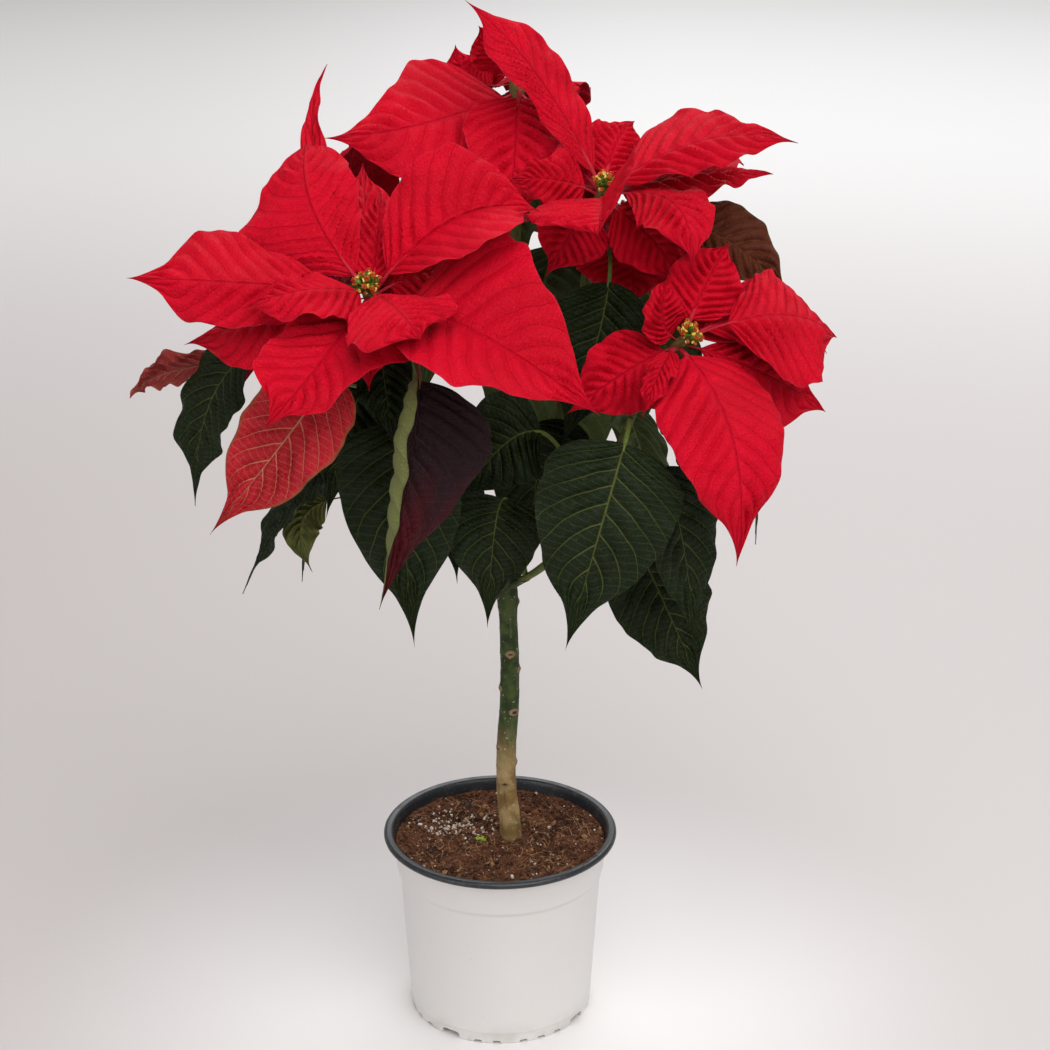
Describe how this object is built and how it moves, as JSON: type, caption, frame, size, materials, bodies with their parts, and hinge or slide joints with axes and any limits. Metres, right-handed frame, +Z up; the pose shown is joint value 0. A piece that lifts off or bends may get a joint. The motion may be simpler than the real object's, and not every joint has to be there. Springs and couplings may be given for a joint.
{
  "type": "potted poinsettia",
  "caption": "Poinsettia grown as a small standard in a round nursery pot: bare woody trunk, forked leafy stems, large red bracts round green cyathia.",
  "frame": {"origin": "centre of the pot's foot, on the surface the pot stands on", "axes": "+Z up, +X to the right and -Y towards the viewer in front of the plant"},
  "size_m": [0.4125, 0.3551, 0.6472],
  "materials": {
    "pot": "satin",
    "soil": "matte",
    "bark": "matte",
    "leaf": "satin",
    "bract": "matte",
    "cyathium": "satin"
  },
  "bodies": {
    "root": {"pot": "pot", "soil": "soil", "trunk": "bark", "stem_front_left": "leaf", "stem_top": "leaf", "stem_upper_right": "leaf", "stem_lower_right": "leaf", "stem_back_right": "leaf", "stem_back_left": "leaf", "bracts_front_left": "bract", "bracts_top": "bract", "bracts_upper_right": "bract", "bracts_lower_right": "bract", "bracts_back_right": "bract", "bracts_back_left": "bract", "cyathia_front_left": "cyathium", "cyathia_top": "cyathium", "cyathia_upper_right": "cyathium", "cyathia_lower_right": "cyathium", "cyathia_back_right": "cyathium", "cyathia_back_left": "cyathium"}
  },
  "joints": []
}
